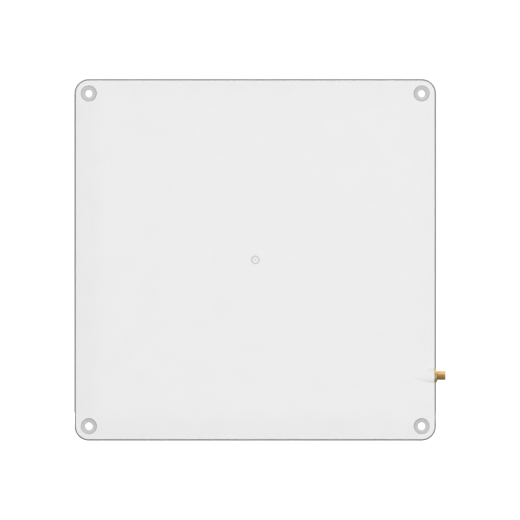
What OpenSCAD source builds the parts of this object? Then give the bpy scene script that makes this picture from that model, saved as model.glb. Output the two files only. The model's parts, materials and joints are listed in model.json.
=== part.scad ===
// Flat square panel antenna of a retail security gate, for fixing to a wall or a pedestal.
// A moulded plastic cover closes over an aluminium back plate, with the radiating patch,
// its feed board and a clipped coaxial lead between them, and a threaded coaxial jack
// leaves the right-hand edge. Millimetres. The panel stands upright: its front faces -Y,
// the mounting plane is Y = 0 and +Z is up. Every piece is drawn lying down, with x to
// the right, y up the panel and z out of the mounting plane, and upright() stands it up.

/* [Panel] */
// Width and height of the square panel
panel_side = 250; // [210:1:400]
// Thickness from the mounting plane to the flat front
panel_depth = 12; // [12:0.1:18]
// Radius of the panel's corners
corner_r = 10; // [8:0.5:11]

/* [Front cover] */
// Thickness of the front face
face_skin = 2; // [1.6:0.1:2.2]
// Thickness of the side wall above the rear rebate
side_wall = 2.5; // [2.3:0.1:3]
// Thickness of the skirt around the back plate
skirt_t = 1.5; // [1:0.1:1.9]
// How far the side wall leans in by its top
wall_draft = 1.0; // [0.3:0.1:1.2]
// Radius of the edge between the side wall and the border
edge_round = 0.1; // [0.1:0.1:0.8]
// Angle of the sloping border to the flat front
border_angle = 10; // [4:0.5:11]
// Distance from the panel's edge to the end of the straight slope
border_w = 12; // [9:0.5:16]
// Width of the curve that blends the slope into the flat front
blend_w = 8.5; // [4:0.5:14]
// Corner radius of the flat front
flat_corner_r = 14; // [10:0.5:30]
// Distance from the panel's edge to the inner sealing rib
rib_inset = 12; // [12:0.5:16]
// Thickness of the inner sealing rib
rib_t = 1.5; // [1:0.1:2.5]
// Radius of the moulding gate's ring mark on the front
gate_ring_r = 2.95; // [2:0.05:5]
// Width of the ring's groove
gate_ring_w = 0.9; // [0.4:0.05:1.2]
// Radius of the dot at the ring's middle
gate_dot_r = 0.6; // [0.3:0.05:0.9]
// Depth of the gate mark
gate_depth = 0.3; // [0.1:0.05:0.5]

/* [Mounting holes] */
// Distance from the panel's edges to the hole centres
hole_inset = 10; // [10:0.5:14]
// Diameter of the through holes
hole_d = 5; // [4:0.1:5.2]
// Diameter of the counterbores in the cover
cbore_d = 11; // [10.5:0.1:12]
// Height of the counterbore floor above the mounting plane
cbore_floor = 8; // [7:0.1:8.4]
// Thickness of the bushing's flange
flange_t = 1; // [0.6:0.1:1.2]
// Wall thickness of the bushing's sleeve
sleeve_wall = 1.2; // [0.8:0.1:1.4]
// Radius of the solid boss around each bushing
corner_boss_r = 8; // [8:0.1:9]

/* [Back plate and gasket] */
// Thickness of the aluminium plate
plate_t = 1.5; // [1.5:0.1:2]
// Gap between the plate's edge and the cover's skirt
plate_gap = 0.25; // [0.1:0.05:0.5]
// Thickness of the squeezed gasket
gasket_t = 0.8; // [0.5:0.1:1]
// Width of the gasket's frame
gasket_w = 13; // [13:0.5:16]

/* [Cover screws] */
// Thread diameter
cover_screw_d = 2.5; // [2:0.1:3]
// Length with the head
cover_screw_l = 7; // [5.5:0.5:7.5]
// Distance from the panel's edges to the screws
cover_screw_inset = 7.5; // [7:0.25:8]
// Spacing of the three screws along each side
cover_screw_pitch = 55; // [40:1:60]
// Radius of the bosses that take the screws
screw_boss_r = 3.2; // [2.6:0.1:3.4]

/* [Radiating patch] */
// Side of the square patch
patch_side = 152; // [130:1:180]
// Thickness of the patch
patch_t = 0.8; // [0.5:0.1:1]
// Length of the standoffs that carry the patch
standoff_h = 5.5; // [4.5:0.1:5.8]
// Distance of the standoffs from the middle, both ways
standoff_reach = 58; // [52:1:60]
// Distance across the flats of a standoff
standoff_af = 6; // [5:0.5:8]
// Diameter of the earthing post at the middle
post_d = 8; // [6:0.5:10]
// Thread diameter of the standoff and post screws
patch_screw_d = 3; // [2.5:0.1:3]
// Height of their pan heads
pan_head_h = 1.6; // [1:0.1:1.7]

/* [Feed board] */
// Width of the board outside its feed points
board_margin = 7; // [6:0.5:9]
// Thickness of the board
board_t = 1.6; // [1:0.1:1.6]
// Distance of the two feed points from the middle of the patch
feed_reach = 38; // [31:0.5:46]
// Radius of the notch around the earthing post
board_notch_r = 12; // [8:0.5:12.5]
// Thickness of the copper tracks
track_t = 0.1; // [0.05:0.01:0.15]
// Width of the input and output tracks
track_w = 3; // [2:0.1:3]
// Width of the two divider arms
arm_w = 1.6; // [1:0.1:2]
// Diameter of the feed pins
probe_d = 3; // [2:0.1:4]
// Thread diameter of the board screws
board_screw_d = 2; // [1.6:0.1:2]

/* [Coaxial jack] */
// Distance of the jack's axis below the middle of the panel
jack_drop = 80; // [66:1:98]
// Outer diameter of the 1/4-36 thread
thread_d = 6.35; // [6.35:0.01:6.35]
// Pitch diameter of the thread, where the nut and the seal meet the jack
thread_pitch_d = 5.89; // [5.85:0.01:5.93]
// Length of thread beyond the nut
thread_out = 5.8; // [5:0.1:8]
// Thickness of the nut
nut_t = 1.8; // [1.5:0.1:2.5]
// Distance across the nut's flats
nut_af = 8; // [8:0.1:8.4]
// Thickness of the lock washer
washer_t = 0.6; // [0.4:0.1:0.8]
// Thickness of the cover's wall under the washer
jack_wall = 2.2; // [1.8:0.1:2.6]
// Thickness of the sealing ring
seal_t = 0.6; // [0.4:0.1:0.8]
// Radius of the fairing that covers the jack
fairing_r = 5.2; // [5:0.05:5.4]
// Thickness of the fairing's skin
fairing_skin = 1.2; // [1:0.1:1.3]
// Length of the crimp ferrule
ferrule_l = 7; // [5:0.5:8]

/* [Coaxial lead] */
// Diameter of the cable
coax_d = 2.5; // [1.8:0.1:2.5]
// Diameter of its insulation
coax_core_d = 1.5; // [1:0.1:1.5]
// Diameter of its inner conductor
coax_wire_d = 0.6; // [0.5:0.05:0.6]
// Bend radius where the cable steps down to the board's level
coax_step_r = 10; // [8:0.5:14]
// Bend radius where the cable turns up to the board
coax_turn_r = 12; // [10:0.5:20]
// Number of clips along the cable
clip_count = 3; // [2:1:3]

/* [Hidden] */

$fn = 64;
// Corner segments in the faceted shapes
hull_fn = 32;
// Thickness of the slices that a lofted shape is hulled from
slice_t = 0.01;
// How far a cut runs past the face that it opens
cut = 0.5;
// Clearance of a piece that slides into its seat
fit_gap = 0.1;
// Clearance of a screw in its thread
thread_gap = 0.05;

// Cover
half = panel_side / 2;
rim_in = wall_draft + edge_round;
flat_in = border_w + blend_w;
slope = tan(border_angle);
rim_z = panel_depth - slope * (blend_w / 2 + border_w - rim_in);
land_z = plate_t + gasket_t;
blend_steps = 4;
edge_steps = 3;
hole_c = half - hole_inset;
screw_c = half - cover_screw_inset;

// Height of the outer surface at a distance in from the edge of the panel
function crown_z(inset) =
    inset >= flat_in ? panel_depth
    : inset >= border_w ? panel_depth - slope * pow(flat_in - inset, 2) / (2 * blend_w)
    : rim_z + slope * (inset - rim_in);

// Corner radius of the outer surface at that distance
function crown_r(inset) =
    inset <= rim_in ? corner_r - inset
    : corner_r - rim_in
        + (flat_corner_r - corner_r + rim_in) * (inset - rim_in) / (flat_in - rim_in);

// Slices [inset, height, corner radius] of the outer shape
edge_z = rim_z - edge_round;
outer_slices = [
    [0, slice_t, corner_r],
    for (i = [0:edge_steps])
        let (a = 90 * i / edge_steps, inset = wall_draft + edge_round * (1 - cos(a)))
            [inset, edge_z + edge_round * sin(a), corner_r - inset],
    for (i = [0:blend_steps])
        let (inset = border_w + blend_w * i / blend_steps)
            [inset, crown_z(inset), crown_r(inset)]
];

// Slices of the cavity, which follows the outer shape
shoulder_in = side_wall + wall_draft;
inner_slices = [
    [side_wall, land_z - cut, corner_r - side_wall],
    [shoulder_in, crown_z(shoulder_in) - face_skin, corner_r - shoulder_in],
    for (i = [0:blend_steps])
        let (inset = border_w + blend_w * i / blend_steps)
            [inset, crown_z(inset) - face_skin, crown_r(inset)]
];

// Bushings
bush_hole_r = hole_d / 2 + sleeve_wall + fit_gap;
cbore_gap = 0.1;

// Flat-head screws: the head's radius and depth follow the thread
function head_r(d) = 0.93 * d;
function head_depth(d) = head_r(d) - d / 2;
recess_depth = 0.8;
recess_w = 0.5;

// Patch
patch_z = plate_t + standoff_h;
patch_top = patch_z + patch_t;
patch_corner_r = 3;
screw_bite = 2.3;
standoff_spots = [for (x = [-1, 1], y = [-1, 1]) [x * standoff_reach, y * standoff_reach]];

// Feed board
board_top = plate_t + board_t;
track_top = board_top + track_t;
board_mid = [feed_reach / 2, -feed_reach / 2];
board_side = feed_reach + 2 * board_margin;
board_screw_inset = 3;
board_head_r = 1.7;
board_head_h = 1.2;
probe_neck_d = probe_d / 2;
probe_clear = 0.1;
feed_spots = [[feed_reach, 0], [0, -feed_reach]];
resistor_size = [6.3, 3.2, 0.6];
resistor_y = board_mid.y - 5;
input_y = board_mid.y - board_side / 2 + 1;
split_y = input_y + 8;
arm_reach = 8;
meander_x = 6;
meander_pitch = 6;
wire_pad_y = input_y + 3;

// Jack, along x
jack_y = -jack_drop;
jack_z = panel_depth - fairing_r;
nut_x = half - rim_in;
nut_out_x = nut_x + nut_t;
washer_x = nut_x - washer_t;
washer_r = 4.1;
wall_x = washer_x - jack_wall;
seal_x = wall_x - seal_t;
jack_flange_t = 1.5;
jack_flange_r = 3.7;
jack_flange_af = 6.6;
jack_flange_x = seal_x - jack_flange_t;
jack_tail_r = 2.5;
jack_tail_x = jack_flange_x - 3.5;
jack_tip_x = nut_out_x + thread_out;
thread_chamfer = 0.4;
thread_relief = 0.05;
socket_bore_r = 2.3;
socket_depth = 1.95;
insulator_r = 2.05;
contact_r = 0.635;
contact_slot = 0.25;
pin_hole_r = 0.47;
pin_hole_depth = 2.6;
ferrule_wall = 0.8;
ferrule_x = jack_tail_x - ferrule_l;

// Fairing and the hollow behind the jack
fairing_in = flat_in;
hollow_r = fairing_r - fairing_skin;
seat_half = fairing_r + 0.6;
seat_depth = half - jack_flange_x;

// Lead
coax_r = coax_d / 2;
coax_z = track_top + coax_wire_d / 2 + thread_gap;
step_drop = jack_z - coax_z;
step_angle = acos(1 - step_drop / (2 * coax_step_r));
step_x = ferrule_x - 2;
step_run = 2 * coax_step_r * sin(step_angle);
coax_turn_x = board_mid.x;
lead_sides = 16;
bend_steps = 8;
strip_gap = 5;
coax_end_y = board_mid.y - board_side / 2 - strip_gap;
core_end_y = board_mid.y - board_side / 2 - 1;
clip_len = 9;
clip_w = 8;
clip_wall = 0.9;
clip_pad_t = 0.5;
clip_first_x = coax_turn_x + coax_turn_r + 8;
clip_last_x = step_x - step_run - 8;
clip_xs = [for (i = [0:clip_count - 1])
    clip_first_x + (clip_last_x - clip_first_x) * i / (clip_count - 1)];

// Stands a piece up from the drawing plane
module upright() rotate([90, 0, 0]) children();

// Turns z into x, for what runs along the jack's axis
module along_x(x) translate([x, jack_y, jack_z]) rotate([0, 90, 0]) children();

module rounded_square(side, r) {
    square([side - 2 * r, side], center = true);
    square([side, side - 2 * r], center = true);
    for (x = [-1, 1], y = [-1, 1])
        translate([x * (side / 2 - r), y * (side / 2 - r)]) circle(r);
}

// Smooth body through slices of [inset, height, corner radius]
module lofted(slices) {
    hull()
        for (s = slices)
            for (x = [-1, 1], y = [-1, 1])
                translate([x * (half - s[0] - s[2]), y * (half - s[0] - s[2]), s[1] - slice_t])
                    cylinder(r = s[2], h = slice_t, $fn = hull_fn);
}

module frame_2d(side, r, width) {
    difference() {
        rounded_square(side, r);
        rounded_square(side - 2 * width, max(r - width, 1));
    }
}

module at_mount_holes() {
    for (x = [-1, 1], y = [-1, 1])
        translate([x * hole_c, y * hole_c, 0]) children();
}

module at_cover_screws() {
    for (turn = [0:90:270])
        rotate([0, 0, turn])
            for (i = [-1:1])
                translate([i * cover_screw_pitch, screw_c, 0]) children();
}

module at_standoffs() {
    for (p = standoff_spots)
        translate([p.x, p.y, 0]) children();
}

module at_feeds() {
    for (p = feed_spots)
        translate([p.x, p.y, 0]) children();
}

module at_board_screws() {
    reach = board_side / 2 - board_screw_inset;
    for (s = [[1, 1], [1, -1], [-1, -1]])
        translate([board_mid.x + s.x * reach, board_mid.y + s.y * reach, 0]) children();
}

// Cross recess, cut down from z = 0
module cross_recess(size) {
    for (turn = [0, 90])
        rotate([0, 0, turn])
            translate([-size / 2, -recess_w / 2, -recess_depth])
                cube([size, recess_w, recess_depth + cut]);
}

// Screw with a flat head at z = 0 that points up
module flat_screw(d, length) {
    difference() {
        union() {
            cylinder(r1 = head_r(d), r2 = d / 2, h = head_depth(d));
            cylinder(d = d, h = length);
        }
        mirror([0, 0, 1]) cross_recess(d);
    }
}

// The hole and countersink for that screw
module flat_screw_hole(d, depth) {
    translate([0, 0, -cut]) cylinder(r = d / 2 + fit_gap, h = depth + 2 * cut);
    translate([0, 0, -fit_gap])
        cylinder(r1 = head_r(d) + 2 * fit_gap, r2 = d / 2 + fit_gap,
            h = head_depth(d) + fit_gap);
}

// Pan-head screw with its head on z = 0 that points down
module pan_screw(d, head_r, head_h, length) {
    difference() {
        union() {
            cylinder(r = head_r, h = head_h * 0.6);
            translate([0, 0, head_h * 0.6])
                cylinder(r1 = head_r, r2 = head_r * 0.75, h = head_h * 0.4);
            translate([0, 0, -length]) cylinder(d = d, h = length);
        }
        translate([0, 0, head_h]) cross_recess(d);
    }
}

module tube(r_out, r_in, h) {
    difference() {
        cylinder(r = r_out, h = h);
        translate([0, 0, -cut]) cylinder(r = r_in, h = h + 2 * cut);
    }
}

module hexagon_prism(af, h) {
    cylinder(r = af / (2 * cos(30)), h = h, $fn = 6);
}

// What stands in the cavity of the cover
module cover_bosses() {
    at_mount_holes() cylinder(r = corner_boss_r, h = panel_depth);
    at_cover_screws() cylinder(r = screw_boss_r, h = panel_depth);
    linear_extrude(panel_depth)
        frame_2d(panel_side - 2 * rib_inset, corner_r, rib_t);
    translate([half - seat_depth, jack_y - seat_half, 0])
        cube([seat_depth, 2 * seat_half, panel_depth]);
}

// Room for the jack's flange, tail and ferrule
module jack_hollow() {
    along_x(half - fairing_in) cylinder(r = hollow_r, h = jack_flange_x - half + fairing_in);
    translate([half - fairing_in, jack_y - hollow_r, land_z])
        cube([jack_flange_x - half + fairing_in, 2 * hollow_r, jack_z - land_z]);
    intersection() {
        along_x(jack_flange_x - cut)
            cylinder(r = jack_flange_r + fit_gap, h = wall_x - jack_flange_x + cut);
        translate([jack_flange_x - cut, jack_y - jack_flange_af / 2 - fit_gap, 0])
            cube([wall_x - jack_flange_x + cut, jack_flange_af + 2 * fit_gap, panel_depth]);
    }
}

module gate_mark() {
    translate([0, 0, panel_depth - gate_depth]) {
        tube(gate_ring_r, gate_ring_r - gate_ring_w, gate_depth + cut);
        cylinder(r = gate_dot_r, h = gate_depth + cut);
    }
}

// The fairing's round back over the jack, above the middle of the skin
module fairing() {
    along_x(half - fairing_in) cylinder(r = fairing_r, h = fairing_in - rim_in);
}

module front_cover() color("whitesmoke") upright() {
    difference() {
        union() {
            lofted(outer_slices);
            intersection() {
                fairing();
                translate([half - fairing_in - cut, jack_y - fairing_r, jack_z])
                    cube([fairing_in + cut, 2 * fairing_r, fairing_r]);
            }
        }
        translate([0, 0, -cut])
            linear_extrude(land_z + cut)
                rounded_square(panel_side - 2 * skirt_t, corner_r - skirt_t);
        difference() {
            lofted(inner_slices);
            cover_bosses();
        }
        at_mount_holes() {
            cylinder(r = bush_hole_r, h = panel_depth);
            translate([0, 0, cbore_floor]) cylinder(d = cbore_d, h = panel_depth);
        }
        at_cover_screws()
            cylinder(r = cover_screw_d / 2 + thread_gap, h = cover_screw_l + fit_gap);
        jack_hollow();
        along_x(wall_x - cut) cylinder(r = thread_d / 2 + fit_gap, h = seat_depth);
        along_x(washer_x) cylinder(r = washer_r + fit_gap, h = seat_depth);
        along_x(nut_x) cylinder(r = fairing_r, h = seat_depth);
        gate_mark();
    }
}

module back_plate() color("silver") upright() {
    plate_side = panel_side - 2 * (skirt_t + plate_gap);
    difference() {
        linear_extrude(plate_t) rounded_square(plate_side, corner_r - skirt_t - plate_gap);
        at_mount_holes() translate([0, 0, -cut]) cylinder(d = hole_d, h = plate_t + 2 * cut);
        at_cover_screws() flat_screw_hole(cover_screw_d, plate_t);
        at_standoffs() flat_screw_hole(patch_screw_d, plate_t);
        flat_screw_hole(patch_screw_d, plate_t);
        at_board_screws()
            translate([0, 0, -cut])
                cylinder(r = board_screw_d / 2 + thread_gap, h = plate_t + 2 * cut);
    }
}

module perimeter_gasket() color("dimgray") upright() {
    gasket_side = panel_side - 2 * (skirt_t + plate_gap);
    translate([0, 0, plate_t])
        difference() {
            linear_extrude(gasket_t)
                frame_2d(gasket_side, corner_r - skirt_t - plate_gap, gasket_w);
            at_mount_holes() translate([0, 0, -cut])
                cylinder(r = bush_hole_r, h = gasket_t + 2 * cut);
            at_cover_screws() translate([0, 0, -cut])
                cylinder(r = cover_screw_d / 2 + fit_gap, h = gasket_t + 2 * cut);
        }
}

module cover_screws() color("gainsboro") upright() {
    at_cover_screws() flat_screw(cover_screw_d, cover_screw_l);
}

module mount_bushings() color("lightgray") upright() {
    at_mount_holes()
        difference() {
            union() {
                translate([0, 0, plate_t])
                    cylinder(r = hole_d / 2 + sleeve_wall, h = cbore_floor + flange_t - plate_t);
                translate([0, 0, cbore_floor])
                    cylinder(r = cbore_d / 2 - cbore_gap, h = flange_t);
            }
            cylinder(d = hole_d, h = panel_depth);
        }
}

module radiating_patch() color("lightsteelblue") upright() {
    translate([0, 0, patch_z])
        difference() {
            linear_extrude(patch_t) rounded_square(patch_side, patch_corner_r);
            for (p = concat(standoff_spots, [[0, 0]]))
                translate([p.x, p.y, -cut])
                    cylinder(r = patch_screw_d / 2 + fit_gap, h = patch_t + 2 * cut);
            at_feeds() translate([0, 0, -cut])
                cylinder(r = probe_neck_d / 2 + probe_clear, h = patch_t + 2 * cut);
        }
}

module patch_standoffs() color("ivory") upright() {
    at_standoffs()
        translate([0, 0, plate_t])
            difference() {
                hexagon_prism(standoff_af, standoff_h);
                translate([0, 0, -cut])
                    cylinder(r = patch_screw_d / 2 + thread_gap, h = standoff_h + 2 * cut);
            }
}

module standoff_back_screws() color("gainsboro") upright() {
    at_standoffs() flat_screw(patch_screw_d, plate_t + screw_bite);
}

module standoff_front_screws() color("white") upright() {
    at_standoffs()
        translate([0, 0, patch_top])
            pan_screw(patch_screw_d, patch_screw_d, pan_head_h, patch_t + screw_bite);
}

module earthing_post() color("darkgray") upright() {
    translate([0, 0, plate_t])
        tube(post_d / 2, patch_screw_d / 2 + thread_gap, standoff_h);
}

module post_back_screw() color("gainsboro") upright() {
    flat_screw(patch_screw_d, plate_t + screw_bite);
}

module post_front_screw() color("gainsboro") upright() {
    translate([0, 0, patch_top])
        pan_screw(patch_screw_d, patch_screw_d, pan_head_h, patch_t + screw_bite);
}

module feed_board() color("darkgreen") upright() {
    difference() {
        translate([board_mid.x, board_mid.y, plate_t])
            linear_extrude(board_t) rounded_square(board_side, 1);
        cylinder(r = board_notch_r, h = panel_depth);
        at_board_screws() cylinder(r = board_screw_d / 2 + fit_gap, h = panel_depth);
    }
}

// Straight tracks through a list of points
module track(points, width) {
    for (i = [0:len(points) - 2])
        let (a = points[i], b = points[i + 1])
            translate([min(a.x, b.x) - width / 2, min(a.y, b.y) - width / 2])
                square([abs(a.x - b.x) + width, abs(a.y - b.y) + width]);
}

module feed_tracks() color("peru") upright() {
    mid_x = board_mid.x;
    arm_l = mid_x - arm_reach;
    arm_r = mid_x + arm_reach;
    pad = (resistor_size.x - track_w) / 2;
    serpent_y = resistor_y + 8;
    translate([0, 0, board_top])
        linear_extrude(track_t) {
            track([[mid_x, input_y + track_w / 2], [mid_x, split_y]], track_w);
            track([[mid_x, split_y], [arm_l, split_y], [arm_l, resistor_y],
                [mid_x - pad, resistor_y]], arm_w);
            track([[mid_x, split_y], [arm_r, split_y], [arm_r, resistor_y],
                [mid_x + pad, resistor_y]], arm_w);
            track([[mid_x + pad + track_w / 2, resistor_y], [feed_reach, resistor_y],
                [feed_reach, 0]], track_w);
            track([[mid_x - pad, resistor_y], [mid_x - pad, serpent_y], [0, serpent_y],
                [0, serpent_y - meander_pitch], [meander_x, serpent_y - meander_pitch],
                [meander_x, serpent_y - 2 * meander_pitch],
                [0, serpent_y - 2 * meander_pitch], [0, -feed_reach]], track_w);
        }
}

module divider_resistor() color("#222222") upright() {
    translate([board_mid.x, resistor_y, track_top + resistor_size.z / 2])
        cube(resistor_size, center = true);
}

module feed_probes() color("goldenrod") upright() {
    at_feeds() translate([0, 0, track_top]) {
        cylinder(d = probe_d, h = patch_z - track_top);
        cylinder(d = probe_neck_d, h = patch_top + 0.3 - track_top);
    }
}

module board_screws() color("gainsboro") upright() {
    at_board_screws()
        translate([0, 0, board_top])
            pan_screw(board_screw_d, board_head_r, board_head_h, board_top);
}

module jack_body() color("goldenrod") {
    thread_len = jack_tip_x - nut_out_x;
    upright() difference() {
        union() {
            along_x(nut_out_x) cylinder(d = thread_d, h = thread_len - thread_chamfer);
            along_x(jack_tip_x - thread_chamfer)
                cylinder(r1 = thread_d / 2, r2 = thread_d / 2 - thread_chamfer,
                    h = thread_chamfer);
            along_x(seal_x)
                cylinder(r = thread_pitch_d / 2 - thread_relief, h = nut_out_x - seal_x);
            intersection() {
                along_x(jack_flange_x) cylinder(r = jack_flange_r, h = jack_flange_t);
                translate([jack_flange_x, jack_y - jack_flange_af / 2, 0])
                    cube([jack_flange_t, jack_flange_af, panel_depth]);
            }
            along_x(jack_tail_x) cylinder(r = jack_tail_r, h = jack_flange_x - jack_tail_x);
        }
        along_x(jack_tip_x - socket_depth) cylinder(r = socket_bore_r, h = socket_depth + cut);
        along_x(jack_flange_x) cylinder(r = insulator_r + thread_gap, h = panel_side);
    }
}

module jack_insulator() color("white") {
    depth = jack_tip_x - socket_depth - jack_flange_x;
    upright() along_x(jack_flange_x) tube(insulator_r, contact_r + thread_gap, depth);
}

module jack_contact() color("goldenrod") {
    depth = jack_tip_x - socket_depth - jack_flange_x;
    upright() along_x(jack_flange_x)
        difference() {
            cylinder(r = contact_r, h = depth);
            translate([0, 0, depth - pin_hole_depth])
                cylinder(r = pin_hole_r, h = pin_hole_depth + cut);
            for (turn = [0, 90])
                rotate([0, 0, turn])
                    translate([-contact_r - cut, -contact_slot / 2, depth - pin_hole_depth / 2])
                        cube([2 * contact_r + 2 * cut, contact_slot, pin_hole_depth]);
        }
}

module jack_nut() color("goldenrod") upright() {
    along_x(nut_x)
        difference() {
            rotate([0, 0, 90]) hexagon_prism(nut_af, nut_t);
            translate([0, 0, -cut]) cylinder(d = thread_pitch_d, h = nut_t + 2 * cut);
        }
}

module jack_lock_washer() color("khaki") upright() {
    along_x(washer_x) tube(washer_r, thread_d / 2, washer_t);
}

module jack_seal() color("#222222") upright() {
    along_x(seal_x) tube(jack_flange_af / 2, thread_pitch_d / 2, seal_t);
}

module crimp_ferrule() color("goldenrod") upright() {
    along_x(ferrule_x) tube(coax_r + thread_gap + ferrule_wall, coax_r + thread_gap, ferrule_l);
}

// Direction of a path at its point i
function along(path, i) =
    let (d = path[min(i + 1, len(path) - 1)] - path[max(i - 1, 0)]) d / norm(d);

// Ring of points square to the path at its point i, on a path that is never vertical
function ring(path, i, r) =
    let (t = along(path, i), n = cross([0, 0, 1], t), side = n / norm(n), up = cross(t, side))
        [for (k = [0:lead_sides - 1])
            let (a = 360 * (k + 0.5) / lead_sides) path[i] + r * (cos(a) * side + sin(a) * up)];

// Round bar that follows a path
module swept(path, r) {
    last = len(path) - 1;
    points = [for (i = [0:last]) each ring(path, i, r)];
    sides = [for (i = [0:last - 1], k = [0:lead_sides - 1])
        let (a = i * lead_sides, b = (k + 1) % lead_sides)
            [a + k, a + b, a + b + lead_sides, a + k + lead_sides]];
    first_cap = [for (k = [lead_sides - 1:-1:0]) k];
    last_cap = [for (k = [0:lead_sides - 1]) last * lead_sides + k];
    polyhedron(points, concat(sides, [first_cap, last_cap]));
}

// The lead's route: level with the jack, down to the board, along it and round to it
lead_path = [
    [jack_tail_x, jack_y, jack_z],
    for (i = [0:bend_steps])
        let (a = step_angle * i / bend_steps)
            [step_x - coax_step_r * sin(a), jack_y, jack_z - coax_step_r * (1 - cos(a))],
    for (i = [bend_steps - 1:-1:0])
        let (a = step_angle * i / bend_steps)
            [step_x - step_run + coax_step_r * sin(a), jack_y,
                coax_z + coax_step_r * (1 - cos(a))],
    for (i = [0:bend_steps])
        let (a = 90 * i / bend_steps)
            [coax_turn_x + coax_turn_r * (1 - sin(a)), jack_y + coax_turn_r * (1 - cos(a)),
                coax_z],
    [coax_turn_x, coax_end_y, coax_z]
];

module coax_cable() color("saddlebrown") upright() swept(lead_path, coax_r);

module coax_insulation_end() color("white") upright() {
    translate([coax_turn_x, coax_end_y, coax_z])
        rotate([-90, 0, 0]) cylinder(d = coax_core_d, h = core_end_y - coax_end_y);
}

module coax_wire_end() color("silver") upright() {
    translate([coax_turn_x, core_end_y, coax_z])
        rotate([-90, 0, 0]) cylinder(d = coax_wire_d, h = wire_pad_y - core_end_y);
}

module cable_clips() color("white") upright() {
    clip_z = plate_t + clip_pad_t;
    clip_h = coax_z + coax_r + clip_wall - clip_z;
    for (x = clip_xs)
        difference() {
            translate([x - clip_len / 2, jack_y - clip_w / 2, clip_z]) {
                cube([clip_len, clip_w, 1]);
                translate([0, clip_w / 2 - coax_r - clip_wall, 0])
                    cube([clip_len, 2 * (coax_r + clip_wall), clip_h]);
            }
            translate([x - clip_len, jack_y, coax_z])
                rotate([0, 90, 0]) cylinder(r = coax_r + thread_gap, h = 2 * clip_len);
            translate([x - clip_len, jack_y - coax_r / 2, coax_z])
                cube([2 * clip_len, coax_r, panel_depth]);
        }
}

module clip_pads() color("lightgray") upright() {
    for (x = clip_xs)
        translate([x - clip_len / 2, jack_y - clip_w / 2, plate_t])
            cube([clip_len, clip_w, clip_pad_t]);
}

// A mound of solder with room for what it holds
module solder_mound(r, h, core_r) {
    difference() {
        cylinder(r1 = r, r2 = core_r + 0.3, h = h);
        translate([0, 0, -cut]) cylinder(r = core_r + thread_gap, h = h + 2 * cut);
    }
}

module solder_joints() color("silver") upright() {
    at_feeds() {
        translate([0, 0, patch_top]) solder_mound(probe_d * 0.7, 0.6, probe_neck_d / 2);
        translate([0, 0, track_top]) solder_mound(probe_d * 0.9, 0.8, probe_d / 2);
    }
    difference() {
        translate([coax_turn_x, input_y + track_w / 2, track_top])
            cylinder(r1 = track_w / 2, r2 = coax_wire_d, h = coax_wire_d + 0.5);
        translate([coax_turn_x, core_end_y, coax_z])
            rotate([-90, 0, 0])
                cylinder(r = (coax_wire_d + thread_gap) / 2, h = wire_pad_y - core_end_y + fit_gap);
    }
}

front_cover();
back_plate();
perimeter_gasket();
cover_screws();
mount_bushings();
radiating_patch();
patch_standoffs();
standoff_back_screws();
standoff_front_screws();
earthing_post();
post_back_screw();
post_front_screw();
feed_board();
feed_tracks();
divider_resistor();
feed_probes();
board_screws();
jack_body();
jack_insulator();
jack_contact();
jack_nut();
jack_lock_washer();
jack_seal();
crimp_ferrule();
coax_cable();
coax_insulation_end();
coax_wire_end();
cable_clips();
clip_pads();
solder_joints();
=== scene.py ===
"""Looks of a security gate's flat square antenna panel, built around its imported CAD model.

Meshes are worked out in millimetres on a panel that lies on its back: x to the right, y up the
panel and z out of its mounting plane. to_frame() stands them up and turns them into metres.
"""
import json
import math

import bmesh
import bpy
import numpy as np
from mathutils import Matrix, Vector
from mathutils.geometry import delaunay_2d_cdt


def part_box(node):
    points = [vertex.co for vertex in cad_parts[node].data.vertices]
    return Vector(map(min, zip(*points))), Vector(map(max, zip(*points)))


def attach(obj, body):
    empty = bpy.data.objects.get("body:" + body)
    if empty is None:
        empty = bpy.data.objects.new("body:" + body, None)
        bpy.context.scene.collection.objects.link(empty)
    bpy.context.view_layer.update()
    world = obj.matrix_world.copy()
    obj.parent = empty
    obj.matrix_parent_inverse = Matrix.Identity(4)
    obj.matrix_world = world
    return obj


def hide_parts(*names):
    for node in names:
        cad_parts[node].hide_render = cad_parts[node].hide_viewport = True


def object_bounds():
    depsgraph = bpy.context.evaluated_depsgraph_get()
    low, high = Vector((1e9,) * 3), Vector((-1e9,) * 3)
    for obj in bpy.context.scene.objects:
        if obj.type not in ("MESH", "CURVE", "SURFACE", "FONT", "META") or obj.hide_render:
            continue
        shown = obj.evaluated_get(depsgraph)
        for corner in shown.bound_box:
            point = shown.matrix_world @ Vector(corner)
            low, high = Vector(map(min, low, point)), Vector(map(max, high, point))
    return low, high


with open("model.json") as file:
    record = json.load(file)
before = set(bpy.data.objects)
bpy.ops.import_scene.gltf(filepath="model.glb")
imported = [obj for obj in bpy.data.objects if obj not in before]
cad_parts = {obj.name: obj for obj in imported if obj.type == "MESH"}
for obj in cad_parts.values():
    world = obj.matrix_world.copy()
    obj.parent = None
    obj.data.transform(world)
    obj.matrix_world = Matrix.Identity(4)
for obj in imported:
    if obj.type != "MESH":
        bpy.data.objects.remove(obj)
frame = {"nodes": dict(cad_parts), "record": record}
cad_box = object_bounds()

MM = 0.001


# ---------------------------------------------------------------- sizes, in millimetres
def drawing_box(node):
    """Lowest and highest corner of a CAD node on the drawing plane."""
    lo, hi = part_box(node)
    return (Vector((lo.x, lo.z, -hi.y)) / MM, Vector((hi.x, hi.z, -lo.y)) / MM)


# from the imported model: the panel
MOUNTS = {m["name"]: m for m in frame["record"]["mounts"]}
COVER_HI = drawing_box("front_cover")[1]
HALF, DEPTH = COVER_HI.x, COVER_HI.z
HOLES = MOUNTS["panel_holes"]["dims"]
HOLE_C = HOLES["spacing_x_mm"] / 2
PLATE_T = drawing_box("back_plate")[1].z
LAND_Z = drawing_box("perimeter_gasket")[1].z
BUSHING_HI = drawing_box("mount_bushings")[1]

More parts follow.
